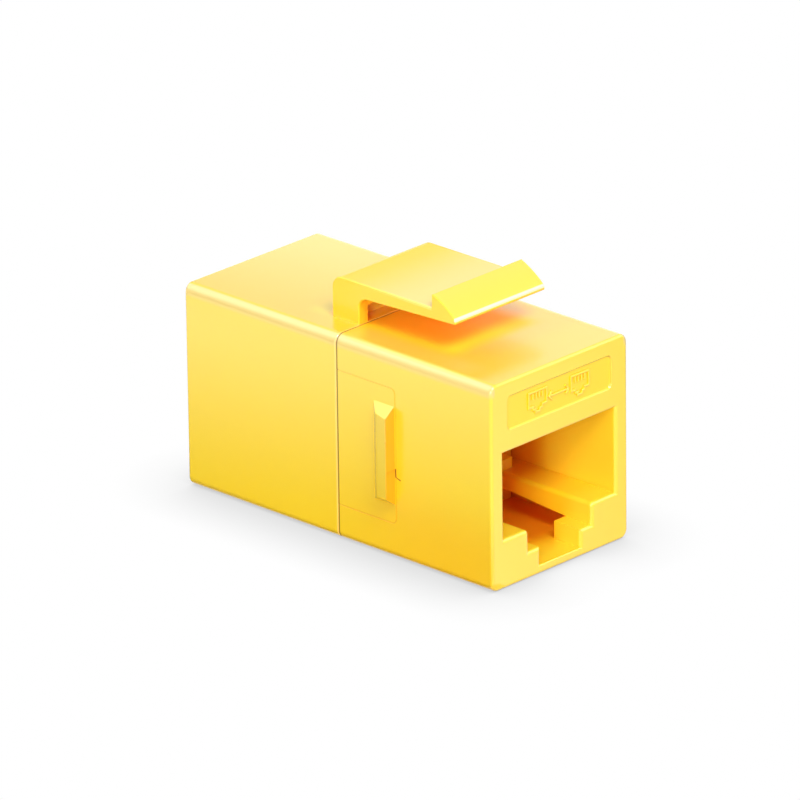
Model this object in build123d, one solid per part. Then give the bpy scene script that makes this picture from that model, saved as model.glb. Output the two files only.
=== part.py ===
from build123d import *
import os

os.makedirs("parts", exist_ok=True)

# Inline coupler for modular plugs, in millimetres.
# The origin is the middle of the flat base. X is the width, Y runs along the coupler with
# the front port towards -Y and the seam of the two shells at Y = 0, and Z is up.

body_length = 31.0  # over both port faces

# Plug cavity of each port
port_width = 11.9  # between the side walls
port_height = 6.7  # from the rails to the ceiling
plug_depth = 9.1  # from the port face to the end stops
stop_length = 1.3
stop_width = 1.25
stop_height = 0.8
mouth_radius = 0.3
rail_radius = 0.34  # long edges of the rails

# Way for the plug's latch, under the plug
floor_thickness = 0.7
shoulder_rise = 1.4  # latch shoulders above the floor
shoulder_depth = 2.65
rail_rise = 1.75  # rails above the shoulders
rail_front_thickness = 1.72
rail_back_thickness = 1.12
latch_way_width = 6.7
latch_slot_width = 4.3
sill_radius = 0.15

# Shell walls and the bay for the contacts above the plug
side_wall = 1.3
top_wall = 1.2
bezel_thickness = 1.2
ledge_thickness = 0.65
spring_window_width = 8.8
bay_height = 3.7
long_edge_radius = 0.7
face_edge_radius = 0.25
seam_chamfer = 0.06

# Recessed field on the front face
field_width = 11.15
field_height = 2.7
field_drop = 1.2  # below the top of the shell
field_depth = 0.14
field_corner = 0.45
field_slope = 40  # degrees, of its side walls

# Spigot of the rear shell and its snap barbs
spigot_wall = 0.55
spigot_length = 2.9
spigot_clearance = 0.05
spigot_end_gap = 0.15
barb_height = 0.28
barb_length = 1.1
barb_setback = 1.4  # from the seam to the steep side of the barb
barb_tall = 5.0
barb_clearance = 0.05

# Panel lugs on the sides of the front shell, and the mould line around each
lug_reach = 0.93
lug_foot = 2.05
lug_front = 5.85  # from the seam
lug_bottom = 4.3
lug_tall = 7.7
lug_end_slope = 0.7
lug_crest = 0.1
lug_ramp = 0.86  # length of the steeper part at the foot
lug_ramp_reach = 0.76
lug_radius = 0.4  # between the two slopes
mould_line_width = 0.1
mould_line_depth = 0.04
mould_line_gap = 0.05  # from the lug's steep side
mould_line_bottom = 2.75
mould_line_tall = 10.7
mould_line_corner = 0.5

# Panel latch, moulded on top of the rear shell
latch_width = 9.5
leg_length = 2.7
leg_corner_radius = 1.0
leg_rib_width = 0.93
leg_groove_depth = 1.27
leg_inner_radius = 0.8
arm_gap = 2.1  # from the shell's top to the arm at the leg
arm_thickness = 1.2
arm_tip_rise = 0.4  # rise of the underside from the leg to the lip
panel_slot = 1.45  # between the lugs' steep sides and the finger ridge
ridge_height = 1.1
ridge_length = 2.4
ridge_round = 8.0
lip_thickness = 0.4
lip_radius = 0.18
crest_radius = 0.12
latch_edge_chamfer = 0.07

# Contacts
contact_count = 8
contact_pitch = 1.016
wire = 0.36  # side of the square wire
row_spacing = 1.8
bend_radius = 0.45
nose_gap = 0.55  # from the bezel to the middle of the wire
turn_drop = 0.2  # below the port's ceiling
tip_height = 3.1  # above the rails
tip_reach = 1.2  # into the comb
tail_length = 0.5  # past the far face of the board

# Contact carriers
carrier_clearance = 0.1
plate_width = 10.6
plate_front_gap = 0.15
plate_rib_width = 1.0
plate_rib_gap = 0.12  # from the outermost contacts
comb_slot_width = 0.56
comb_slot_depth = 1.5
comb_slot_drop = 0.6  # below the contact's tip
standoff_height = 1.0
standoff_diameter = 1.9
peg_diameter = 1.0
peg_end = 0.3  # past the board
upper_peg_height = 9.0
lower_peg_height = 3.4
peg_spread = 8.4

# Circuit board between the two carriers
board_thickness = 1.2
board_clearance = 0.15
board_corner = 0.4
hole_clearance = 0.1

# Levels above the base
shoulder_z = floor_thickness + shoulder_rise
rail_z = shoulder_z + rail_rise
ceiling_z = rail_z + port_height
ledge_z = ceiling_z + ledge_thickness
bay_top_z = ledge_z + bay_height
body_height = bay_top_z + top_wall
low_run_z = ledge_z + wire / 2
high_run_z = low_run_z + row_spacing
plate_top_z = high_run_z + wire / 2
turn_z = ceiling_z - turn_drop
tip_z = rail_z + tip_height

# Widths of the body and of the bay that holds the plate
body_width = port_width + 2 * side_wall
bay_width = plate_width + 2 * carrier_clearance
contact_span = (contact_count - 1) * contact_pitch
rib_middle = (contact_span + wire + plate_rib_width) / 2 + plate_rib_gap

# Places along the front half, all towards -Y
face_y = -body_length / 2
stop_y = face_y + plug_depth
step_y = stop_y + stop_length
carrier_back_y = -(board_thickness / 2 + standoff_height)
bezel_y = face_y + bezel_thickness
shoulder_y = face_y + shoulder_depth
nose_y = bezel_y + nose_gap
plate_front_y = nose_y + wire / 2 + plate_front_gap
tip_y = step_y + tip_reach
tail_y = board_thickness / 2 + tail_length
ridge_y = -(lug_front + panel_slot)


def mirrored(half):
    # closed outline from its right half, given as points of X and Z
    return make_face(Polyline(half + [(-x, z) for x, z in reversed(half)], close=True))


def rectangle(width, z_from, z_to):
    return mirrored([(width / 2, z_from), (width / 2, z_to)])


def along(outline, y_from, y_to):
    # prism along the coupler, from an outline in X and Z
    return extrude(Plane.XZ.offset(-y_to) * outline, amount=y_to - y_from)


def across(outline, width):
    # prism across the coupler, from an outline in Y and Z
    return extrude(Plane.YZ * outline, amount=width / 2, both=True)


def upright(outline, z_from, z_to):
    # prism upwards, from an outline in X and Y
    return extrude(Plane.XY.offset(z_from) * outline, amount=z_to - z_from)


def outer_shell():
    body = along(rectangle(body_width, 0, body_height), face_y, 0)
    body = fillet(body.edges().filter_by(Axis.Y), long_edge_radius)
    body = fillet(body.faces().sort_by(Axis.Y)[0].edges(), face_edge_radius)
    return chamfer(body.faces().sort_by(Axis.Y)[-1].edges(), seam_chamfer)


def over_rails(steps):
    # outline of the plug above the given steps, with the long edges of the rails rounded
    top = [(port_width / 2, rail_z), (port_width / 2, ceiling_z)]
    outline = mirrored(steps + [(latch_way_width / 2, rail_z)] + top)
    for side in (-1, 1):
        rail_edge = (side * latch_way_width / 2, rail_z)
        outline = fillet(outline.vertices().sort_by_distance(rail_edge)[0], rail_radius)
    return outline


def port_mouth():
    # stepped outline of the plug, its latch way and the narrow slot in the sill
    steps = [
        (latch_slot_width / 2, floor_thickness),
        (latch_slot_width / 2, shoulder_z),
        (latch_way_width / 2, shoulder_z),
    ]
    return along(over_rails(steps), face_y, shoulder_y)


def plug_space():
    # behind the shoulders the rails stand out from the side walls over an open floor
    plug = along(over_rails([(latch_way_width / 2, floor_thickness)]), shoulder_y, step_y)
    under_rails = Polyline(
        (shoulder_y, floor_thickness),
        (step_y, floor_thickness),
        (step_y, rail_z - rail_back_thickness),
        (shoulder_y, rail_z - rail_front_thickness),
        close=True,
    )
    return plug + across(make_face(under_rails), port_width)


def end_stops():
    middle = latch_way_width / 2 + stop_width / 2
    outline = rectangle(stop_width, rail_z - rail_radius, rail_z + stop_height)
    stop = along(outline, stop_y, step_y)
    return [Pos(side * middle, 0, 0) * stop for side in (-1, 1)]


def contact_bay():
    # window for the springs, with a ledge on each side that carries the plate
    half = [
        (spring_window_width / 2, ceiling_z),
        (spring_window_width / 2, ledge_z),
        (bay_width / 2, ledge_z),
        (bay_width / 2, bay_top_z),
    ]
    return along(mirrored(half), bezel_y, step_y)


def port_shell():
    # one shell with its port, before the fittings that only one of the two has
    shell = outer_shell() - port_mouth()
    front = shell.faces().sort_by(Axis.Y)[0]
    mouth_edges = front.inner_wires()[0].edges()
    sill_edge = mouth_edges.sort_by(Axis.Z)[0]
    shell = fillet(ShapeList([edge for edge in mouth_edges if edge != sill_edge]), mouth_radius)
    front = shell.faces().sort_by(Axis.Y)[0]
    shell = fillet(front.inner_wires()[0].edges().sort_by(Axis.Z)[0], sill_radius)
    shell -= plug_space()
    shell -= contact_bay()
    shell -= along(rectangle(port_width, floor_thickness, bay_top_z), step_y, 0)
    for stop in end_stops():
        shell += stop
    return shell


def spigot_outline(growth):
    # side walls and top wall of the spigot, open at the bottom
    outer = port_width / 2 + spigot_wall + growth
    return rectangle(2 * outer, floor_thickness, bay_top_z + spigot_wall + growth)


def spigot():
    outer = along(spigot_outline(0), -spigot_length, 0)
    inner = along(rectangle(port_width, floor_thickness, bay_top_z), -spigot_length, 0)
    return outer - inner


def spigot_seat():
    depth = spigot_length + spigot_end_gap
    return along(spigot_outline(spigot_clearance), -depth, 0)


def barb(side):
    root = port_width / 2 + spigot_wall
    outline = Polyline(
        (side * root, -barb_setback),
        (side * (root + barb_height), -barb_setback),
        (side * root, -barb_setback - barb_length),
        close=True,
    )
    middle = body_height / 2
    return upright(make_face(outline), middle - barb_tall / 2, middle + barb_tall / 2)


def barb_pocket(side):
    root = port_width / 2 + spigot_wall
    depth = barb_height + 2 * barb_clearance
    length = barb_length + 2 * barb_clearance
    tall = barb_tall + 2 * barb_clearance
    place = Pos(side * (root + depth / 2), -barb_setback - barb_length / 2, body_height / 2)
    return place * Box(depth, length, tall)


def panel_lug(side):
    # hook with its steep side to the port, sloped down at both ends
    wall = body_width / 2
    bend = (side * (wall + lug_ramp_reach), -lug_front + lug_foot - lug_ramp)
    wedge = Polyline(
        (side * wall, -lug_front + lug_foot),
        bend,
        (side * (wall + lug_reach), -lug_front + lug_crest),
        (side * (wall + lug_reach), -lug_front),
        (side * wall, -lug_front),
        close=True,
    )
    section = make_face(wedge)
    section = fillet(section.vertices().sort_by_distance(bend)[0], lug_radius)
    ends = Polyline(
        (side * wall, lug_bottom),
        (side * (wall + lug_reach), lug_bottom + lug_end_slope),
        (side * (wall + lug_reach), lug_bottom + lug_tall - lug_end_slope),
        (side * wall, lug_bottom + lug_tall),
        close=True,
    )
    body = upright(section, lug_bottom, lug_bottom + lug_tall)
    return body & along(make_face(ends), -lug_front, -lug_front + lug_foot)


def mould_line(side):
    # fine line where the side insert of the mould ends
    middle_z = mould_line_bottom + mould_line_tall / 2
    reach = lug_front + mould_line_gap + mould_line_width
    outline = RectangleRounded(2 * reach, mould_line_tall, mould_line_corner)
    ring = outline - offset(outline, -mould_line_width)
    line = extrude(Plane.YZ * Pos(0, middle_z) * ring, amount=mould_line_depth, both=True)
    return Pos(side * body_width / 2, 0, 0) * line


def front_field():
    middle_z = body_height - field_drop - field_height / 2
    outline = Pos(0, middle_z) * RectangleRounded(field_width, field_height, field_corner)
    return extrude(Plane.XZ.offset(-face_y) * outline, amount=-field_depth, taper=field_slope)


def front_shell():
    shell = port_shell() - front_field()
    shell -= spigot_seat()
    for side in (-1, 1):
        shell -= barb_pocket(side)
        shell -= mould_line(side)
        shell += panel_lug(side)
    return shell


def panel_latch():
    # drawn in Y and Z with the lip towards the front port
    under_z = body_height + arm_gap
    top_z = under_z + arm_thickness
    lip_y = ridge_y - ridge_length
    lip_under_z = under_z + arm_tip_rise
    lip_top_z = lip_under_z + lip_thickness
    crest_z = top_z + ridge_height
    outline = Polyline(
        (0, body_height),
        (leg_length, body_height),
        (leg_length, top_z),
        (ridge_y, top_z),
        (ridge_y, crest_z),
    )
    outline += RadiusArc((ridge_y, crest_z), (lip_y, lip_top_z), -ridge_round)
    outline += Polyline((lip_y, lip_top_z), (lip_y, lip_under_z), (0, under_z), (0, body_height))
    profile = make_face(outline)
    corners = profile.vertices()
    profile = fillet(corners.sort_by_distance((leg_length, top_z))[0], leg_corner_radius)
    corners = profile.vertices()
    profile = fillet(corners.sort_by_distance((0, under_z))[0], leg_inner_radius)
    corners = profile.vertices()
    lip_corners = corners.sort_by_distance((lip_y, (lip_top_z + lip_under_z) / 2))[:2]
    profile = fillet(lip_corners, lip_radius)
    corners = profile.vertices()
    profile = fillet(corners.sort_by_distance((ridge_y, crest_z))[0], crest_radius)
    latch = across(profile, latch_width)
    rims = latch.faces().filter_by(Axis.X).edges()
    rims = ShapeList([rim for rim in rims if rim.center().Z > under_z])
    latch = chamfer(rims, latch_edge_chamfer)
    groove_width = latch_width - 2 * leg_rib_width
    groove = along(rectangle(groove_width, body_height, under_z), 0, leg_groove_depth)
    return latch - groove


def rear_shell():
    shell = port_shell().rotate(Axis.Z, 180)
    shell += panel_latch()
    shell += spigot()
    for side in (-1, 1):
        shell += barb(side)
    return shell


def contact_x(place):
    return place * contact_pitch - contact_span / 2


def contact(place):
    # square wire: tail through the board, run along the plate, bend at the nose, spring arm
    run_z = low_run_z if place % 2 == 0 else high_run_z
    path = FilletPolyline(
        (tail_y, run_z),
        (nose_y, run_z),
        (nose_y, turn_z),
        (tip_y, tip_z),
        radius=bend_radius,
    )
    return Pos(contact_x(place), 0, 0) * across(trace(path, wire), wire)


def peg_places():
    return [(peg_spread / 2, upper_peg_height), (-peg_spread / 2, lower_peg_height)]


def contact_carrier(contacts):
    width = port_width - 2 * carrier_clearance
    block_top = bay_top_z - carrier_clearance
    carrier = along(rectangle(width, floor_thickness, block_top), step_y, carrier_back_y)
    carrier += along(rectangle(plate_width, ledge_z, plate_top_z), plate_front_y, step_y)
    rib = along(rectangle(plate_rib_width, plate_top_z, block_top), plate_front_y, step_y)
    for side in (-1, 1):
        carrier += Pos(side * rib_middle, 0, 0) * rib
    for x, z in peg_places():
        standoff = Pos(x, z) * Circle(standoff_diameter / 2)
        carrier += along(standoff, carrier_back_y, -board_thickness / 2)
        peg = Pos(x, z) * Circle(peg_diameter / 2)
        carrier += along(peg, carrier_back_y, board_thickness / 2 + peg_end)
    slot = along(
        rectangle(comb_slot_width, tip_z - comb_slot_drop, ceiling_z),
        step_y,
        step_y + comb_slot_depth,
    )
    for place in range(contact_count):
        carrier -= Pos(contact_x(place), 0, 0) * slot
    for wire_piece in contacts:
        carrier -= wire_piece
    return carrier


def circuit_board():
    width = port_width - 2 * board_clearance
    height = bay_top_z - board_clearance - floor_thickness
    outline = RectangleRounded(width, height, board_corner)
    outline = Pos(0, floor_thickness + height / 2) * outline
    hole = Circle((wire * 2**0.5 + hole_clearance) / 2)
    for row_z in (low_run_z, high_run_z):
        for place in range(contact_count):
            outline -= Pos(contact_x(place), row_z) * hole
    peg_hole = Circle((peg_diameter + hole_clearance) / 2)
    for x, z in peg_places():
        outline -= Pos(x, z) * peg_hole
        outline -= Pos(-x, z) * peg_hole
    return along(outline, -board_thickness / 2, board_thickness / 2)


front_contacts = [contact(place) for place in range(contact_count)]
front_carrier = contact_carrier(front_contacts)

pieces = {
    "front_shell": front_shell(),
    "rear_shell": rear_shell(),
    "circuit_board": circuit_board(),
    "front_contact_carrier": front_carrier,
    "rear_contact_carrier": front_carrier.rotate(Axis.Z, 180),
}
for number, piece in enumerate(front_contacts, start=1):
    pieces[f"front_contact_{number}"] = piece
    pieces[f"rear_contact_{number}"] = piece.rotate(Axis.Z, 180)

for name, piece in pieces.items():
    export_step(piece, f"parts/{name}.step")
    print(name, round(piece.volume, 3), "mm3")
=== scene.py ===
import bmesh
import bpy
import math
from mathutils import Matrix, Vector


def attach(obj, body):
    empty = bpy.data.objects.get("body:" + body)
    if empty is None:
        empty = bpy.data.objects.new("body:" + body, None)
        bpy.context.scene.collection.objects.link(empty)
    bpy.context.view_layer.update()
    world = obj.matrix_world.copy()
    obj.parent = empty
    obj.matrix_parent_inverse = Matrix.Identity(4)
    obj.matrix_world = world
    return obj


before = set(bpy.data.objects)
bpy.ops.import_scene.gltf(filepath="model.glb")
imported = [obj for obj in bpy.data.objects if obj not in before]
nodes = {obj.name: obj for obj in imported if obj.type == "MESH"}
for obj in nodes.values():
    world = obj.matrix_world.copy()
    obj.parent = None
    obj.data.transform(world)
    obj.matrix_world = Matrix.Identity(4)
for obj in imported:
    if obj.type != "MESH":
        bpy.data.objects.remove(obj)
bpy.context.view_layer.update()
mm = 0.001
print("model loaded with", len(nodes), "pieces")


# Camera, at the photograph's angle

view = {
    "aim": (-0.07, 0.466, 8.689),  # mm
    "azimuth": -46.053,
    "elevation": 21.932,
    "roll": -0.748,
    "distance": 715.56,  # mm
    "lens": 438.1,
}


def addCamera():
    turn, rise = math.radians(view["azimuth"]), math.radians(view["elevation"])
    back = Vector((math.sin(turn) * math.cos(rise), -math.cos(turn) * math.cos(rise), math.sin(rise)))
    data = bpy.data.cameras.new("camera")
    data.lens = view["lens"]
    data.clip_start, data.clip_end = 0.05, 20
    camera = bpy.data.objects.new("camera", data)
    camera.rotation_mode = "QUATERNION"
    camera.location = (Vector(view["aim"]) + back * view["distance"]) * mm
    aimed = (-back).to_track_quat("-Z", "Y").to_matrix()
    rolled = aimed @ Matrix.Rotation(math.radians(view["roll"]), 3, "Z")
    camera.rotation_quaternion = rolled.to_quaternion()
    bpy.context.scene.collection.objects.link(camera)
    bpy.context.scene.camera = camera


addCamera()
bpy.context.scene.view_settings.view_transform = "Standard"
print("camera placed")


# Small helpers for node trees and meshes

def newMaterial(name):
    material = bpy.data.materials.new(name)
    material.use_nodes = True
    tree = material.node_tree
    tree.nodes.clear()
    return material, tree


def addNode(tree, kind, links=None, **settings):
    # links: socket name or number to a value or to another node's output
    node = tree.nodes.new("ShaderNode" + kind)
    for key, value in settings.items():
        setattr(node, key, value)
    for key, value in (links or {}).items():
        socket = node.inputs[key]
        if isinstance(value, bpy.types.NodeSocket):
            tree.links.new(value, socket)
        else:
            socket.default_value = value
    return node


def maths(tree, operation, first, second=0.0, third=0.0, clamp=False):
    node = addNode(tree, "Math", {0: first, 1: second, 2: third}, operation=operation, use_clamp=clamp)
    return node.outputs[0]


def ramp(tree, value, low, high, fromValue=0.0, toValue=1.0):
    # smooth change from one value to another between two limits
    node = addNode(tree, "MapRange", {"Value": value, "From Min": low, "From Max": high,
                                      "To Min": fromValue, "To Max": toValue})
    node.interpolation_type = "SMOOTHSTEP"
    return node.outputs["Result"]


def mixColours(tree, amount, first, second, blend="MIX"):
    node = addNode(tree, "Mix", data_type="RGBA", blend_type=blend)
    for key, value in ((0, amount), (6, first), (7, second)):
        if isinstance(value, bpy.types.NodeSocket):
            tree.links.new(value, node.inputs[key])
        else:
            node.inputs[key].default_value = value
    return node.outputs[2]


def placeInMm(tree):
    # object coordinates in millimetres, as a vector and as its three parts
    coordinates = addNode(tree, "TexCoord").outputs["Object"]
    scaled = addNode(tree, "VectorMath", {0: coordinates, 3: 1 / mm}, operation="SCALE").outputs[0]
    parts = addNode(tree, "SeparateXYZ", {0: scaled}).outputs
    return scaled, parts[0], parts[1], parts[2]


def newGroup(name, inputs, outputs):
    tree = bpy.data.node_groups.new(name, "ShaderNodeTree")
    for label, kind, value in inputs:
        socket = tree.interface.new_socket(label, in_out="INPUT", socket_type="NodeSocket" + kind)
        socket.default_value = value
    for label, kind in outputs:
        tree.interface.new_socket(label, in_out="OUTPUT", socket_type="NodeSocket" + kind)
    return tree, tree.nodes.new("NodeGroupInput").outputs, tree.nodes.new("NodeGroupOutput").inputs


def useGroup(tree, group, **values):
    node = tree.nodes.new("ShaderNodeGroup")
    node.node_tree = group
    for key, value in values.items():
        socket = node.inputs[key]
        if isinstance(value, bpy.types.NodeSocket):
            tree.links.new(value, socket)
        else:
            socket.default_value = value
    return node.outputs


def addPiece(name, mesh, material, slot=None):
    mesh.name = name
    piece = bpy.data.objects.new(name, mesh)
    bpy.context.scene.collection.objects.link(piece)
    mesh.materials.append(material)
    if slot:
        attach(piece, "root")
    return piece


# Floor, white surroundings and lamps

studio = {
    "floorColour": (0.55, 0.55, 0.55, 1),
    "floorRadius": 3,  # m
    "floorDrop": 0.02,  # mm below the base
    "shadowReach": 6.5,  # mm
    "shadowDepth": 0.226,
    "roomLight": 0.3,
    "lampAim": (0, 0, 8),  # mm
    "lampDistance": 900,  # mm
}


def seenDirectly(tree):
    # 1 where the camera, a reflection or a refraction sees it, 0 for the light it gives
    rays = addNode(tree, "LightPath").outputs
    seen = maths(tree, "ADD", rays["Is Camera Ray"], rays["Is Glossy Ray"])
    return maths(tree, "ADD", seen, rays["Is Transmission Ray"], clamp=True)


def addWorld():
    world = bpy.data.worlds.new("whiteRoom")
    world.use_nodes = True
    tree = world.node_tree
    tree.nodes.clear()
    strength = ramp(tree, seenDirectly(tree), 0, 1, studio["roomLight"], 1.0)
    shine = addNode(tree, "Background", {"Color": (1, 1, 1, 1), "Strength": strength})
    tree.links.new(shine.outputs[0], addNode(tree, "OutputWorld").inputs[0])
    bpy.context.scene.world = world


def floorMaterial():
    # white to the eye, with a soft shadow close to what stands on it
    material, tree = newMaterial("floorWhite")
    reach = studio["shadowReach"] * mm
    clear = addNode(tree, "AmbientOcclusion", {"Distance": reach}, samples=16).outputs["AO"]
    shade = maths(tree, "MULTIPLY_ADD", maths(tree, "SUBTRACT", clear, 1.0), 2 * studio["shadowDepth"], 1.0)
    glow = addNode(tree, "Emission", {"Color": (1, 1, 1, 1), "Strength": shade})
    matt = addNode(tree, "BsdfDiffuse", {"Color": studio["floorColour"]})
    both = addNode(tree, "MixShader", {0: seenDirectly(tree), 1: matt.outputs[0], 2: glow.outputs[0]})
    tree.links.new(both.outputs[0], addNode(tree, "OutputMaterial").inputs[0])
    return material


def addFloor():
    mesh = bpy.data.meshes.new("floor")
    form = bmesh.new()
    bmesh.ops.create_circle(form, cap_ends=True, radius=studio["floorRadius"], segments=96)
    form.to_mesh(mesh)
    form.free()
    floor = addPiece("floor", mesh, floorMaterial())
    floor.location.z = -studio["floorDrop"] * mm


lamps = [
    {"name": "sideLamp", "towards": (-0.83, -0.49, 0.26), "size": 300, "watts": 3.8},
    {"name": "frontLamp", "towards": (-0.27, -0.6, 0.75), "size": 300, "watts": 5.2},
    {"name": "leftLamp", "towards": (-0.5, 0.45, 0.74), "size": 300, "watts": 1.0},
    {"name": "rearLamp", "towards": (0.62, 0.72, 0.32), "size": 400, "watts": 1.8, "inGloss": False},
    {"name": "rightLamp", "towards": (0.45, -0.72, 0.53), "size": 400, "watts": 0.9},
]

# narrow soft spot on the right wall of the port, in mm and degrees
portSpot = {
    "aim": (5.95, -12.1, 5.5),
    "towards": (-0.83, -0.49, 0.26),
    "distance": 450,
    "size": 30,
    "spread": 1.75,
    "watts": 8.0,
}


def placeLamp(piece, aim, towards, distance):
    towards = Vector(towards).normalized()
    piece.location = (Vector(aim) + towards * distance) * mm
    piece.rotation_euler = (-towards).to_track_quat("-Z", "Y").to_euler()
    bpy.context.scene.collection.objects.link(piece)


def addLamp(lamp):
    data = bpy.data.lights.new(lamp["name"], "AREA")
    data.shape = "SQUARE"
    data.size = lamp["size"] * mm
    data.energy = lamp["watts"]
    piece = bpy.data.objects.new(lamp["name"], data)
    piece.visible_glossy = lamp.get("inGloss", True)
    piece.visible_camera = False
    placeLamp(piece, studio["lampAim"], lamp["towards"], studio["lampDistance"])


def addPortSpot():
    data = bpy.data.lights.new("portSpot", "SPOT")
    data.spot_size = math.radians(portSpot["spread"])
    data.spot_blend = 1.0
    data.shadow_soft_size = portSpot["size"] * mm
    data.energy = portSpot["watts"]
    piece = bpy.data.objects.new("portSpot", data)
    placeLamp(piece, portSpot["aim"], portSpot["towards"], portSpot["distance"])


addWorld()
addFloor()
addPortSpot()
for lamp in lamps:
    addLamp(lamp)
print("floor, surroundings and", len(lamps) + 1, "lamps placed")


# Reflector cards, seen only in the gloss of the plastic. A card is even, or it has a rise:
# from nothing to its full brightness along a direction, with a curve, and then, where the
# rise has an end, on to another brightness there. Places and sizes are in mm.

cards = [
    {"name": "sideCard", "centre": (-53, 47, 0.3), "across": (1, 0, 0), "up": (0, 1, 0),
     "size": (94, 126), "bright": 2.6,
     "rise": {"towards": (-0.9455, 0.3256, 0), "from": 5, "to": 46, "curve": 1.8, "end": 52, "beyond": 0.5}},
    {"name": "frontCard", "centre": (42, -62, 0.3), "across": (1, 0, 0), "up": (0, 1, 0),
     "size": (100, 94), "bright": 1.5,
     "rise": {"towards": (-0.694, -0.72, 0), "from": -11, "to": 16, "curve": 1.0}},
    {"name": "topCard", "centre": (28.5, 27.5, 23.6), "across": (0.694, -0.72, 0),
     "up": (-0.27, -0.26, 0.927), "size": (70, 20), "bright": 1.55,
     "rise": {"towards": (0.394, 0.122, -0.911), "from": -19.5, "to": -9.8, "curve": 1.0}},
    {"name": "sideEdgeCard", "centre": (-37, 64, 75), "across": (0.87, 0.5, 0), "up": (-0.33, 0.58, -0.74),
     "size": (90, 90), "bright": 2.6},
    {"name": "frontEdgeCard", "centre": (67, -50, 52), "across": (0.6, 0.8, 0), "up": (-0.37, 0.28, 0.88),
     "size": (60, 60), "bright": 3.2},
    {"name": "cornerCard", "centre": (-28, -36, 0.3), "across": (1, 0, 0), "up": (0, 1, 0),
     "size": (34, 34), "bright": 1.6},
    {"name": "ridgeCard", "centre": (53, -10, 79), "across": (0, 1, 0), "up": (-0.743, 0, 0.668),
     "size": (50, 44), "bright": 1.5},
]


def cardStrength(tree, card):
    rise = card.get("rise")
    if not rise:
        return card["bright"]
    place = placeInMm(tree)[0]
    along = addNode(tree, "VectorMath", {0: place, 1: rise["towards"]}, operation="DOT_PRODUCT")
    reach = along.outputs["Value"]
    share = addNode(tree, "MapRange", {"Value": reach, "From Min": rise["from"], "From Max": rise["to"]})
    strength = maths(tree, "MULTIPLY", maths(tree, "POWER", share.outputs[0], rise["curve"]), card["bright"])
    if "end" not in rise:
        return strength
    past = ramp(tree, reach, rise["to"], rise["end"])
    return addNode(tree, "Mix", {0: past, 2: strength, 3: rise["beyond"]}).outputs[0]


def addCard(card):
    across = Vector(card["across"]).normalized()
    up = Vector(card["up"]).normalized()
    width, height = card["size"]
    corners = [Vector(card["centre"]) + across * width * a + up * height * b
               for a, b in ((-0.5, -0.5), (0.5, -0.5), (0.5, 0.5), (-0.5, 0.5))]
    mesh = bpy.data.meshes.new(card["name"])
    mesh.from_pydata([corner * mm for corner in corners], [], [(0, 1, 2, 3)])
    material, tree = newMaterial(card["name"] + "Glow")
    glow = addNode(tree, "Emission", {"Strength": cardStrength(tree, card)})
    tree.links.new(glow.outputs[0], addNode(tree, "OutputMaterial").inputs[0])
    piece = addPiece(card["name"], mesh, material)
    piece.visible_camera = piece.visible_diffuse = piece.visible_shadow = False
    piece.visible_transmission = piece.visible_volume_scatter = False


for card in cards:
    addCard(card)
print(len(cards), "reflector cards placed")


# Moulded plastic, for both shells and the contact carriers

def mouldedFinish():
    # fine texture of the mould, faint flow of the melt and small changes of gloss
    tree, given, result = newGroup(
        "mouldedFinish",
        [("Colour", "Color", (1, 1, 1, 1)), ("Flow", "Float", 0.02), ("Roughness", "Float", 0.3),
         ("Gloss Change", "Float", 0.03), ("Grain Size", "Float", 0.2)],
        [("Colour", "Color"), ("Roughness", "Float"), ("Height", "Float")],
    )
    place = placeInMm(tree)[0]
    streaks = addNode(tree, "Mapping", {"Vector": place, "Scale": (1, 0.25, 0.6)}).outputs[0]
    flow = addNode(tree, "TexNoise", {"Vector": streaks, "Scale": 0.35, "Detail": 3.0}).outputs[0]
    flow = maths(tree, "SUBTRACT", flow, 0.5)
    lift = maths(tree, "MULTIPLY_ADD", flow, given["Flow"], 1.0)
    tinted = addNode(tree, "VectorMath", {0: given["Colour"], 3: lift}, operation="SCALE").outputs[0]
    patches = addNode(tree, "TexNoise", {"Vector": place, "Scale": 0.6, "Detail": 2.0}).outputs[0]
    patches = maths(tree, "SUBTRACT", patches, 0.5)
    rough = maths(tree, "MULTIPLY_ADD", patches, given["Gloss Change"], given["Roughness"])
    fineness = maths(tree, "DIVIDE", 1.0, given["Grain Size"])
    grain = addNode(tree, "TexNoise", {"Vector": place, "Scale": fineness, "Detail": 2.0}).outputs[0]
    tree.links.new(tinted, result["Colour"])
    tree.links.new(rough, result["Roughness"])
    tree.links.new(grain, result["Height"])
    return tree


mouldedGroup = mouldedFinish()

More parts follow.
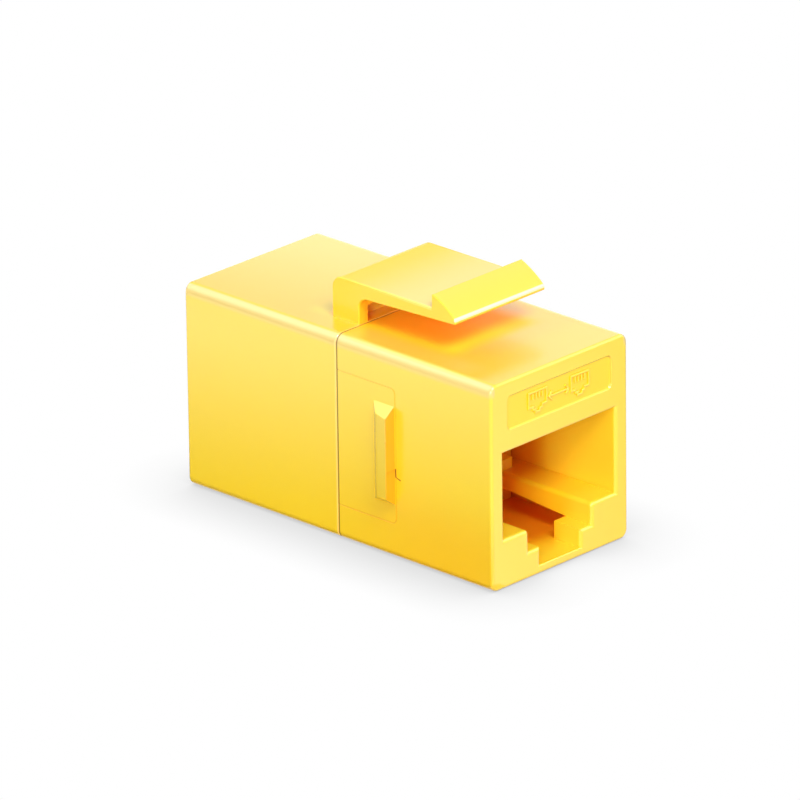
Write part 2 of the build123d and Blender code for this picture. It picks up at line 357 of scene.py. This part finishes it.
plastic = {
    "colour": (0.93, 0.655, 0.012, 1),
    # painted glow: diffuse rays see this redder colour, brighter than the plastic, so shade in hollows glows
    # orange
    "paintedBounceGlow": (1.25, 0.42, 0.004, 1),  # what it passes on to its neighbours
    "flow": 0.03,
    "roughness": 0.3,
    "glossChange": 0.05,
    "coatRoughness": 0.19,
    "fieldCoat": 0.25,  # on the floor of the front field
    "underMatt": 0.88,  # share of the coat that is lost under the latch
    "mattRoughness": 0.5,  # added where the coat has gone
    "grainSize": 0.22,  # mm
    "grainDepth": 0.00012,  # mm
    # painted shadow: dark for the gap of the seam and for the strip along the base
    "paintedShadow": (0.20, 0.13, 0.02, 1),
    # painted highlight along the rear shell's edge of the seam
    "seamHighlight": (0.97, 0.80, 0.30, 1),
    # painted shade for thin lines: the ring round the lug and the rim of the front field
    "paintedLineShade": (0.50, 0.30, 0.01, 1),
    "nick": (0.10, 0.04, 0.005, 1),
    # painted shade: for the low front of the flanks and the steep sides of the lugs
    "shade": (0.96, 0.36, 0.006, 1),
    # painted highlight: a pale, washed-out yellow on the rounded long edges of the top
    "edgeHighlight": (0.80, 0.59, 0.19, 1),
    # painted sheen on the top of the latch arm
    "armSheen": (0.93, 0.78, 0.14, 1),
    # painted light on the faces in the port near its mouth
    "mouthLight": (0.93, 0.84, 0.045, 1),
    # painted light: a paler yellow that lifts the shade on the top under the latch
    "underLatch": (0.86, 0.90, 0.004, 1),
    # painted light filling the latch's cast shadow behind its leg
    "behindLatchLight": (0.95, 0.86, 0.02, 1),
    # painted sheen: paler yellow on the top beside the latch, where the latch blocks its reflection
    "topSheenBesideLatch": (0.93, 0.72, 0.1, 1),
    # painted highlight along the rounded edge of the latch lip
    "lipHighlight": (0.97, 0.93, 0.6, 1),
    # painted shade: deeper in the port the plastic turns dark red
    "portShade": (0.70, 0.15, 0.003, 1),
}

# each mark's tint and how much of it shows, in the order in which they are laid on; all but the nick are
# painted light, shade and highlights
shellTints = [
    # painted highlight on the rounded long top edges
    ("Edge Highlight", "edgeHighlight", 0.85),
    # painted sheen on the top beside the latch
    ("Top Sheen Beside Latch", "topSheenBesideLatch", 0.8),
    # painted sheen on the arm
    ("Arm Sheen", "armSheen", 0.7),
    # painted light near the mouth of the port
    ("Mouth Light", "mouthLight", 0.7),
    # painted highlight along the seam
    ("Seam Highlight", "seamHighlight", 0.4),
    # painted shadow in the gap of the seam
    ("Seam Gap Shadow", "paintedShadow", 0.85),
    # painted crease shade along the ring round the lug
    ("Mould Line Shade", "paintedLineShade", 0.3),
    # painted shade along the sides and top of the field's recess
    ("Field Rim Shade", "paintedLineShade", 0.4),
    ("Nick", "nick", 0.9),
    # painted light under the latch
    ("Under Latch Light", "underLatch", 0.42),
    # painted light in the shadow behind the latch's leg
    ("Behind Latch Light", "behindLatchLight", 0.7),
    # painted highlight on the latch lip
    ("Lip Highlight", "lipHighlight", 0.9),
    # painted shade low on the flanks
    ("Low Side Shade", "shade", 0.28),
    # painted contact shadow along the base
    ("Foot Shadow", "paintedShadow", 0.65),
    # painted shade deep in the port
    ("Port Depth Shade", "portShade", 0.6),
    # painted shade on the steep sides of the lugs
    ("Lug Root Shade", "shade", 0.7),
]

# Where the marks are. A limit is a direction with the place where a mark is gone and the
# place where it is full, or with the two ends of a band and its softness, all in mm: x is
# across, y along from the seam, z above the base, wide is x without its sign, and deep is
# the distance from the nearer end face.

endFace = 15.5
onBody = ("z", 16.14, 16.12)
onTop = ("z", 15.92, 16.17, 0.02)
inField = [("z", 12.1, 15.0, 0.02), ("wide", 5.67, 5.65)]
fieldWall = [("y", -15.48, -15.38, 0.01), ("z", 12.3, 12.4), *inField]
aloft = ("z", 16.22, 16.42)  # the latch, clear of the body
underLatch = [("wide", 5.4, 3.2), ("y", -9.2, 0.2, 0.9), onTop]
inPort = [("wide", 6.2, 6.1), ("z", 11.0, 10.9), ("z", 0.3, 0.5)]
stopFace = [("wide", 4.66, 4.62), ("z", 3.4, 4.72, 0.02), ("deep", 9.02, 9.05)]

shellPatches = {
    # painted shadow in the gap of the seam, on the front shell's edge
    "Seam Gap Shadow": [("y", -0.19, -0.02, 0.015), onBody],
    # painted highlight along the rear shell's edge of the seam
    "Seam Highlight": [("y", 0.0, 0.11, 0.015), onBody],
    # painted highlight on the rounded long edges of the top
    "Edge Highlight": [("wide", 6.75, 6.95), ("z", 15.0, 15.6), onBody],  # rounded long edges of the top
    # painted sheen on the top beside the latch
    "Top Sheen Beside Latch": [("x", -3.8, -5.6), ("y", -12.6, -0.4, 1.2), onTop],  # beside the latch
    # painted sheen on the top of the arm, paler towards the ridge
    "Arm Sheen": [("z", 19.1, 19.25), ("y", -7.4, -7.25), ("y", 1.0, -6.5)],  # paler towards the ridge
    "Under Latch": underLatch,
    # painted light under the latch, fading out towards the right
    "Under Latch Light": [*underLatch, ("x", 3.4, 0.6)],
    # painted light in the shadow behind the latch's leg
    "Behind Latch Light": [("x", -4.8, 4.6, 0.7), ("y", 2.9, 4.8, 0.9), onTop],
    # painted highlight along the rounded edge of the latch lip
    "Lip Highlight": [("y", -9.85, -9.55, 0.03), ("z", 18.84, 19.1, 0.03)],
    # painted shade low on the flanks, towards the front
    "Low Side Shade": [("y", 5.0, -12.0), ("z", 8.0, 2.5), ("wide", 6.9, 7.1)],  # low on the flanks, at the front
    # painted contact shadow along the base
    "Foot Shadow": [("z", 0.17, 0.1)],
    # painted shade on the steep sides of the lugs, in the corner with the flank
    "Lug Root Shade": [("y", -5.92, -5.81, 0.02), ("wide", 7.26, 7.3)],  # steep side of the lugs
    "Field": [("y", -15.45, -15.26, 0.03), *inField],
}

# marks that are the greater of two patches, each with its share
shellPairs = {
    # painted shade along the sides and top of the field's recess
    "Field Rim Shade": [(1.0, [("wide", 5.2, 5.3), *fieldWall]),
                  (1.0, [("z", 14.55, 14.65), *fieldWall])],
    "Latch Matt": [(0.6, [("y", -5.0, 2.6), aloft]),  # the arm, away from the ridge
                   (0.4, [("wide", 4.6, 4.7), aloft])],  # the flanks of the latch
    # painted light near the mouth of the port: on the low steps close to the front, higher up to a greater
    # depth
    "Mouth Light": [(1.0, [("deep", 3.5, 1.0), ("z", 4.3, 3.7), ("deep", 0.05, 0.3), *inPort]),
                   (0.75, [("deep", 8.0, 5.8), ("z", 3.7, 4.2), ("deep", 0.05, 0.3), *inPort])],
    # painted shade deep in the port
    "Port Depth Shade": [(1.0, [("deep", 6.5, 8.7), *inPort]),
                   (1.3, [("deep", 2.3, 4.4), ("z", 2.2, 2.0), *inPort])],  # the floor darkens sooner
}

# painted crease shade along a faint ring with round corners round the lug, on the flanks of the front shell,
# stronger towards the base
mouldRing = {
    "reach": 5.95,  # middle of the line from the seam
    "middle": 8.1,  # above the base
    "half": 5.3,
    "corner": 0.45,
    "width": (0.07, 0.03),  # from the middle of the line: gone, full
    "where": [("wide", 7.15, 7.2), ("y", -0.1, -0.14), onBody],
    "faint": (13.3, 3.0, 0.35, 1.0),  # z at its top and near the base, and its strength at each
}

# small dark nick in the left flank, beside the lug
nick = {
    "corners": ((-5.9, 7.1), (-5.92, 6.5), (-6.38, 6.36)),  # y and z
    "width": (0.07, 0.03),
    "where": [("x", -7.0, -7.1)],
}


def hypotenuse(tree, first, second):
    squares = maths(tree, "MULTIPLY_ADD", first, first, maths(tree, "MULTIPLY", second, second))
    return maths(tree, "SQRT", squares)


def segmentDistance(tree, y, z, start, end):
    # distance from a straight line between two points, each given as y and z
    (startY, startZ), (endY, endZ) = start, end
    lengthY, lengthZ = endY - startY, endZ - startZ
    fromY, fromZ = maths(tree, "SUBTRACT", y, startY), maths(tree, "SUBTRACT", z, startZ)
    along = maths(tree, "MULTIPLY_ADD", fromY, lengthY, maths(tree, "MULTIPLY", fromZ, lengthZ))
    share = maths(tree, "MULTIPLY", along, 1 / (lengthY ** 2 + lengthZ ** 2), clamp=True)
    offY = maths(tree, "SUBTRACT", fromY, maths(tree, "MULTIPLY", share, lengthY))
    offZ = maths(tree, "SUBTRACT", fromZ, maths(tree, "MULTIPLY", share, lengthZ))
    return hypotenuse(tree, offY, offZ)


def between(tree, value, low, high, soft):
    rise = ramp(tree, value, low - soft, low + soft)
    return maths(tree, "MULTIPLY", rise, ramp(tree, value, high + soft, high - soft))


def patch(tree, at, limits):
    # product of the ramp or band that each limit gives
    mask = None
    for direction, *places in limits:
        shape = between if len(places) == 3 else ramp
        part = shape(tree, at[direction], *places)
        mask = part if mask is None else maths(tree, "MULTIPLY", mask, part)
    return mask


def greater(tree, at, pair):
    first, second = (maths(tree, "MULTIPLY", patch(tree, at, limits), share) for share, limits in pair)
    return maths(tree, "MAXIMUM", first, second)


# painted crease shade along the ring, stronger towards the base
def mouldLineShade(tree, at):
    corner = mouldRing["corner"]
    overY = maths(tree, "SUBTRACT", maths(tree, "ABSOLUTE", at["y"]), mouldRing["reach"] - corner)
    overZ = maths(tree, "ABSOLUTE", maths(tree, "SUBTRACT", at["z"], mouldRing["middle"]))
    overZ = maths(tree, "SUBTRACT", overZ, mouldRing["half"] - corner)
    outside = hypotenuse(tree, maths(tree, "MAXIMUM", overY, 0.0), maths(tree, "MAXIMUM", overZ, 0.0))
    inside = maths(tree, "MINIMUM", maths(tree, "MAXIMUM", overY, overZ), 0.0)
    away = maths(tree, "SUBTRACT", maths(tree, "ADD", outside, inside), corner)
    line = ramp(tree, maths(tree, "ABSOLUTE", away), *mouldRing["width"])
    line = maths(tree, "MULTIPLY", line, patch(tree, at, mouldRing["where"]))
    return maths(tree, "MULTIPLY", line, ramp(tree, at["z"], *mouldRing["faint"]))


def nickMark(tree, at):
    first, middle, last = nick["corners"]
    upper = segmentDistance(tree, at["y"], at["z"], first, middle)
    lower = segmentDistance(tree, at["y"], at["z"], middle, last)
    mark = ramp(tree, maths(tree, "MINIMUM", upper, lower), *nick["width"])
    return maths(tree, "MULTIPLY", mark, patch(tree, at, nick["where"]))


def shellMasks():
    # all the marks of a shell, worked out from the place on it
    labels = [*shellPatches, *shellPairs, "Mould Line Shade", "Nick"]
    tree, _, result = newGroup("shellMasks", [], [(label, "Float") for label in labels])
    x, y, z = placeInMm(tree)[1:]
    deep = maths(tree, "SUBTRACT", endFace, maths(tree, "ABSOLUTE", y))
    at = {"x": x, "y": y, "z": z, "wide": maths(tree, "ABSOLUTE", x), "deep": deep}
    masks = {label: patch(tree, at, limits) for label, limits in shellPatches.items()}
    masks.update({label: greater(tree, at, pair) for label, pair in shellPairs.items()})
    masks["Mould Line Shade"] = mouldLineShade(tree, at)
    masks["Nick"] = nickMark(tree, at)
    notStop = maths(tree, "SUBTRACT", 1.0, patch(tree, at, stopFace))
    # the painted shade stays off the face of the end stop
    masks["Port Depth Shade"] = maths(tree, "MULTIPLY", masks["Port Depth Shade"], notStop)
    for label, mask in masks.items():
        tree.links.new(mask, result[label])
    return tree


shellGroup = shellMasks()


def shellMaterial():
    material, tree = newMaterial("yellowShell")
    finish = useGroup(tree, mouldedGroup, **{"Colour": plastic["colour"], "Flow": plastic["flow"],
                                             "Roughness": plastic["roughness"],
                                             "Gloss Change": plastic["glossChange"],
                                             "Grain Size": plastic["grainSize"]})
    masks = useGroup(tree, shellGroup)
    colour = finish["Colour"]
    for label, tint, amount in shellTints:
        colour = mixColours(tree, maths(tree, "MULTIPLY", masks[label], amount), colour, plastic[tint])
    # painted orange glow in the shade: light that bounces off the shell comes back redder and brighter than
    # its colour
    colour = mixColours(tree, addNode(tree, "LightPath").outputs["Is Diffuse Ray"], colour, plastic["paintedBounceGlow"])
    matt = maths(tree, "MULTIPLY", masks["Under Latch"], plastic["underMatt"])
    matt = maths(tree, "MAXIMUM", matt, masks["Latch Matt"])
    # no coat where the painted seam shadow and the nick are
    dull = maths(tree, "ADD", masks["Seam Gap Shadow"], masks["Nick"], clamp=True)
    coat = maths(tree, "MULTIPLY_ADD", masks["Field"], plastic["fieldCoat"] - 1, 1.0)
    coat = maths(tree, "MULTIPLY", coat, maths(tree, "SUBTRACT", 1.0, matt))
    coat = maths(tree, "MULTIPLY", coat, maths(tree, "SUBTRACT", 1.0, dull), clamp=True)
    rough = maths(tree, "MULTIPLY_ADD", matt, plastic["mattRoughness"], finish["Roughness"])
    bump = addNode(tree, "Bump", {"Height": finish["Height"], "Distance": plastic["grainDepth"] * mm})
    skin = addNode(tree, "BsdfPrincipled", {"Base Color": colour, "Roughness": rough,
                                            "Normal": bump.outputs[0], "Coat Weight": coat,
                                            "Coat Roughness": plastic["coatRoughness"]})
    tree.links.new(skin.outputs[0], addNode(tree, "OutputMaterial").inputs[0])
    return material


carrierPlastic = {
    "colour": (0.93, 0.55, 0.014, 1),
    # painted glow: diffuse rays see this redder, brighter colour, so shade near the carriers glows orange
    "paintedBounceGlow": (1.08, 0.44, 0.006, 1),
    "flow": 0.05,
    "roughness": 0.48,
    "glossChange": 0.08,
    "grainSize": 0.12,  # mm
    "grainDepth": 0.0004,  # mm
}


def carrierMaterial():
    material, tree = newMaterial("yellowCarrier")
    finish = useGroup(tree, mouldedGroup, **{"Colour": carrierPlastic["colour"],
                                             "Flow": carrierPlastic["flow"],
                                             "Roughness": carrierPlastic["roughness"],
                                             "Gloss Change": carrierPlastic["glossChange"],
                                             "Grain Size": carrierPlastic["grainSize"]})
    # painted orange glow in the shade, as on the shells
    diffuse = addNode(tree, "LightPath").outputs["Is Diffuse Ray"]
    colour = mixColours(tree, diffuse, finish["Colour"], carrierPlastic["paintedBounceGlow"])
    bump = addNode(tree, "Bump", {"Height": finish["Height"], "Distance": carrierPlastic["grainDepth"] * mm})
    skin = addNode(tree, "BsdfPrincipled", {"Base Color": colour, "Roughness": finish["Roughness"],
                                            "Normal": bump.outputs[0]})
    tree.links.new(skin.outputs[0], addNode(tree, "OutputMaterial").inputs[0])
    return material


shellYellow = shellMaterial()
carrierYellow = carrierMaterial()


# Metals: gilded springs with tinned tails, and solder

metal = {
    "gold": (0.83, 0.58, 0.20, 1),
    "tin": (0.68, 0.68, 0.66, 1),
    "goldEdge": (3.9, 4.1),  # mm from the board, where tin changes to gold
    # the spacing of the lines and their relief are in mm
    "contact": {"cloud": 0.08, "roughness": 0.2, "lineSpacing": 0.05, "relief": 0.001},
    "solder": {"cloud": 0.25, "roughness": 0.3, "lineSpacing": 0.12, "relief": 0.004},
}


def metalFinish():
    # fine lines along the drawn wire, clouded tone and gloss
    tree, given, result = newGroup(
        "metalFinish",
        [("Colour", "Color", (1, 1, 1, 1)), ("Cloud", "Float", 0.1), ("Roughness", "Float", 0.25),
         ("Line Spacing", "Float", 0.05)],
        [("Colour", "Color"), ("Roughness", "Float"), ("Height", "Float")],
    )
    place = placeInMm(tree)[0]
    cloud = addNode(tree, "TexNoise", {"Vector": place, "Scale": 1.4, "Detail": 3.0}).outputs[0]
    cloud = maths(tree, "SUBTRACT", cloud, 0.5)
    lift = maths(tree, "MULTIPLY_ADD", cloud, given["Cloud"], 1.0)
    tinted = addNode(tree, "VectorMath", {0: given["Colour"], 3: lift}, operation="SCALE").outputs[0]
    rough = maths(tree, "MULTIPLY_ADD", cloud, given["Cloud"], given["Roughness"])
    lengthwise = addNode(tree, "Mapping", {"Vector": place, "Scale": (1, 0.05, 1)}).outputs[0]
    fineness = maths(tree, "DIVIDE", 1.0, given["Line Spacing"])
    lines = addNode(tree, "TexNoise", {"Vector": lengthwise, "Scale": fineness, "Detail": 1.0}).outputs[0]
    tree.links.new(tinted, result["Colour"])
    tree.links.new(rough, result["Roughness"])
    tree.links.new(lines, result["Height"])
    return tree


metalGroup = metalFinish()


def plating(tree):
    y = placeInMm(tree)[2]
    gilded = ramp(tree, maths(tree, "ABSOLUTE", y), *metal["goldEdge"])
    return mixColours(tree, gilded, metal["tin"], metal["gold"])


def metalMaterial(name, look, colourOf):
    material, tree = newMaterial(name)
    finish = useGroup(tree, metalGroup, **{"Colour": colourOf(tree), "Cloud": look["cloud"],
                                           "Roughness": look["roughness"],
                                           "Line Spacing": look["lineSpacing"]})
    bump = addNode(tree, "Bump", {"Height": finish["Height"], "Distance": look["relief"] * mm})
    skin = addNode(tree, "BsdfPrincipled", {"Base Color": finish["Colour"], "Roughness": finish["Roughness"],
                                            "Normal": bump.outputs[0], "Metallic": 1.0})
    tree.links.new(skin.outputs[0], addNode(tree, "OutputMaterial").inputs[0])
    return material


contactMetal = metalMaterial("contactMetal", metal["contact"], plating)
solderMetal = metalMaterial("solderMetal", metal["solder"], lambda tree: metal["tin"])


# Circuit board, with tracks under the mask and a ring round each hole

board = {
    "mask": (0.012, 0.11, 0.035, 1),
    "track": (0.022, 0.19, 0.06, 1),
    "weave": (0.006, 0.06, 0.02, 1),
    "edge": (0.34, 0.30, 0.16, 1),
    "tails": 8,
    "pitch": 1.016,  # mm
    "rows": (11.38, 13.18),  # mm above the base
    "rowReach": (4.15, 4.1),  # mm across, where the rings end
    "ring": (0.52, 0.48),  # mm from the middle of a hole: gone, full
    "trackTop": 11.0,
    "trackSlant": 0.11,
    "trackHalf": (0.13, 0.10),
    "trackLow": (1.8, 2.0),
    "trackReach": (4.4, 4.3),
    "face": (0.57, 0.55),  # mm from the middle of the board, where its faces begin
    "weaveShare": 0.25,
    "relief": 0.02,
    "trackRise": 0.6,  # shares of the relief
    "weaveRise": 0.2,
    "roughness": 0.32,
    "edgeRoughness": 0.35,  # added on the edges
}


def boardMaterial():
    material, tree = newMaterial("circuitBoardGreen")
    place, x, y, z = placeInMm(tree)
    wide = maths(tree, "ABSOLUTE", x)
    halfPitch = board["pitch"] / 2
    column = maths(tree, "PINGPONG", maths(tree, "SUBTRACT", x, board["pitch"]), halfPitch)
    column = maths(tree, "SUBTRACT", halfPitch, column)  # distance to the nearest column of holes
    lower, upper = (ramp(tree, hypotenuse(tree, column, maths(tree, "SUBTRACT", z, level)), *board["ring"])
                    for level in board["rows"])
    rings = maths(tree, "MAXIMUM", lower, upper)
    rings = maths(tree, "MULTIPLY", rings, ramp(tree, wide, *board["rowReach"]))
    drop = maths(tree, "MULTIPLY", maths(tree, "SUBTRACT", board["trackTop"], z), board["trackSlant"])
    lane = maths(tree, "PINGPONG", maths(tree, "ADD", x, drop), halfPitch)
    tracks = maths(tree, "MULTIPLY", ramp(tree, lane, *board["trackHalf"]), ramp(tree, z, *board["trackLow"]))
    tracks = maths(tree, "MULTIPLY", tracks, ramp(tree, wide, *board["trackReach"]))
    weave = addNode(tree, "TexNoise", {"Vector": place, "Scale": 2.2, "Detail": 4.0}).outputs[0]
    tone = mixColours(tree, tracks, board["mask"], board["track"])
    tone = mixColours(tree, maths(tree, "MULTIPLY", weave, board["weaveShare"]), tone, board["weave"])
    tone = mixColours(tree, rings, tone, metal["gold"])
    rim = ramp(tree, maths(tree, "ABSOLUTE", y), *board["face"])
    tone = mixColours(tree, rim, tone, board["edge"])
    shiny = maths(tree, "MULTIPLY", rings, maths(tree, "SUBTRACT", 1.0, rim))
    height = maths(tree, "MULTIPLY", weave, board["weaveRise"])
    height = maths(tree, "MULTIPLY_ADD", tracks, board["trackRise"], height)
    bump = addNode(tree, "Bump", {"Height": height, "Distance": board["relief"] * mm})
    rough = maths(tree, "MULTIPLY_ADD", rim, board["edgeRoughness"], board["roughness"])
    skin = addNode(tree, "BsdfPrincipled", {"Base Color": tone, "Roughness": rough, "Metallic": shiny,
                                            "Normal": bump.outputs[0]})
    tree.links.new(skin.outputs[0], addNode(tree, "OutputMaterial").inputs[0])
    return material


boardGreen = boardMaterial()

# every other piece is a contact
finishes = {"shell": shellYellow, "carrier": carrierYellow, "board": boardGreen}

for name, piece in nodes.items():
    finish = next((finishes[word] for word in finishes if word in name), contactMetal)
    piece.data.materials.clear()
    piece.data.materials.append(finish)
print("all", len(nodes), "pieces of the model dressed")


# Raised sign in the front field: two port outlines joined by a line

sign = {
    "middle": (0.0, 13.55),  # x and z, mm
    "floor": -15.36,
    "relief": 0.12,
    "sunk": 0.03,  # below the floor of the field
    "stroke": 0.17,
    "round": 0.06,
    "roundSteps": 4,
    "mitreLimit": 0.3,
    "endReach": 0.3,  # strokes past the end of a line
    "portWidth": 1.9,
    "portTall": 1.6,
    "portSpread": 4.5,
    "pins": 4,
    "pinsInWidth": 5.6,
    "pinDrop": 0.8,  # strokes below the top of the port
    "pinTall": 0.38,
    "arrowGap": 0.25,
    "arrowHead": 0.3,
    "lineShort": 0.17,  # the line ends this far inside the arrows
}


def strokeProfile():
    # half section of a stroke from its foot to its top: sideways and height
    half, bevel, relief = sign["stroke"] / 2, sign["round"], sign["relief"]
    section = [(half, -sign["sunk"])]
    for step in range(sign["roundSteps"] + 1):
        turn = math.radians(90 * step / sign["roundSteps"])
        section.append((half - bevel * (1 - math.cos(turn)), relief - bevel * (1 - math.sin(turn))))
    return section + [(-side, height) for side, height in reversed(section)]


def addStroke(form, points, closed):
    # ridge along a line of points, mitred at the corners
    count = len(points)
    section = strokeProfile()
    rings = []
    for i, point in enumerate(points):
        here = Vector(point)
        before = Vector(points[i - 1]) if closed or i > 0 else None
        after = Vector(points[(i + 1) % count]) if closed or i < count - 1 else None
        ways = []
        if before:
            ways.append((here - before).normalized())
        if after:
            ways.append((after - here).normalized())
        sides = [Vector((-way.y, way.x)) for way in ways]
        side = sum(sides, Vector((0, 0))).normalized()
        side /= max(side.dot(sides[0]), sign["mitreLimit"])
        stretch = Vector((0, 0))
        if len(ways) == 1:
            stretch = ways[0] * sign["stroke"] * sign["endReach"] * (1 if before else -1)
        ring = []
        for across, height in section:
            x, z = here + side * across + stretch
            ring.append(form.verts.new(Vector((x, sign["floor"] - height, z)) * mm))
        rings.append(ring)
    pairs = list(zip(rings, rings[1:])) + ([(rings[-1], rings[0])] if closed else [])
    for first, second in pairs:
        for i in range(len(section) - 1):
            form.faces.new((first[i], first[i + 1], second[i + 1], second[i]))
    if not closed:
        form.faces.new(rings[0])
        form.faces.new(rings[-1])


def portOutline(middle, height):
    # outline of a modular port, with its steps at the bottom
    halfWide, halfTall = sign["portWidth"] / 2, sign["portTall"] / 2
    half = [(0.24, -1.0), (0.24, -0.72), (0.5, -0.72), (0.5, -0.42), (1.0, -0.42), (1.0, 1.0)]
    outline = [(x * halfWide, z * halfTall) for x, z in half]
    outline += [(-x, z) for x, z in reversed(outline)]
    return [(middle + x, height + z) for x, z in outline]


def addSign():
    form = bmesh.new()
    middle, height = sign["middle"]
    reach = sign["portSpread"] / 2
    for side in (-1, 1):
        centre = middle + side * reach
        addStroke(form, portOutline(centre, height), True)
        for number in range(sign["pins"]):
            x = centre + (number - (sign["pins"] - 1) / 2) * sign["portWidth"] / sign["pinsInWidth"]
            top = height + sign["portTall"] / 2 - sign["pinDrop"] * sign["stroke"]
            addStroke(form, [(x, top - sign["pinTall"]), (x, top)], False)
    inner = reach - sign["portWidth"] / 2 - sign["arrowGap"]
    line = inner - sign["lineShort"]
    addStroke(form, [(middle - line, height), (middle + line, height)], False)
    for side in (-1, 1):
        tip = middle + side * inner
        head = sign["arrowHead"]
        back = tip - side * head
        addStroke(form, [(back, height + head), (tip, height), (back, height - head)], False)
    bmesh.ops.recalc_face_normals(form, faces=form.faces)
    mesh = bpy.data.meshes.new("field_sign")
    form.to_mesh(mesh)
    form.free()
    addPiece("field_sign", mesh, shellYellow, "shell")


addSign()
print("raised sign added")


# Small witness of the moulding gate on the left lug

gate = {
    "place": (-8.16, -5.79, 9.5),  # mm
    "radii": (0.07, 0.09, 0.15),
    "broken": -0.7,  # share of the radius where it is cut off
    "uneven": 0.05,
    "waves": (2, 5),
}


def addGateWitness():
    form = bmesh.new()
    bmesh.ops.create_icosphere(form, subdivisions=4, radius=1)
    waveY, waveZ = gate["waves"]
    radii = gate["radii"]
    for point in form.verts:
        x, y, z = point.co
        x = max(x, gate["broken"]) + gate["uneven"] * math.sin(waveZ * z + waveY * y)
        point.co = (Vector((x * radii[0], y * radii[1], z * radii[2])) + Vector(gate["place"])) * mm
    mesh = bpy.data.meshes.new("gate_witness")
    form.to_mesh(mesh)
    form.free()
    for face in mesh.polygons:
        face.use_smooth = True
    addPiece("gate_witness", mesh, shellYellow, "shell")


addGateWitness()
print("gate witness added")


# Solder round each tail, on the far face of the board

solder = {
    "foot": 0.42,  # mm, radius on the board
    "neck": 0.24,
    "tall": 0.36,
    "flare": 2.4,
    "sunk": 0.02,
    "board": 0.6,  # half of its thickness
    "segments": 24,
    "rings": 8,
}


def addJoint(form, x, z, side):
    lastRing = None
    for step in range(solder["rings"] + 1):
        share = step / solder["rings"]
        radius = solder["neck"] + (solder["foot"] - solder["neck"]) * (1 - share) ** solder["flare"]
        y = side * (solder["board"] - solder["sunk"] + (solder["tall"] + solder["sunk"]) * share)
        ring = []
        for i in range(solder["segments"]):
            turn = 2 * math.pi * i / solder["segments"]
            point = Vector((x + radius * math.cos(turn), y, z + radius * math.sin(turn)))
            ring.append(form.verts.new(point * mm))
        if lastRing:
            for i in range(len(ring)):
                j = (i + 1) % len(ring)
                form.faces.new((lastRing[i], lastRing[j], ring[j], ring[i]))
        lastRing = ring
    form.faces.new(lastRing)


def addSolder(name, side):
    form = bmesh.new()
    for number in range(board["tails"]):
        x = (number - (board["tails"] - 1) / 2) * board["pitch"]
        addJoint(form, side * x, board["rows"][number % 2], side)
    bmesh.ops.recalc_face_normals(form, faces=form.faces)
    mesh = bpy.data.meshes.new(name)
    form.to_mesh(mesh)
    form.free()
    for face in mesh.polygons:
        face.use_smooth = len(face.vertices) == 4
    addPiece(name, mesh, solderMetal, "contact")


addSolder("front_tail_solder", 1)
addSolder("rear_tail_solder", -1)
print("solder added on both faces of the board")
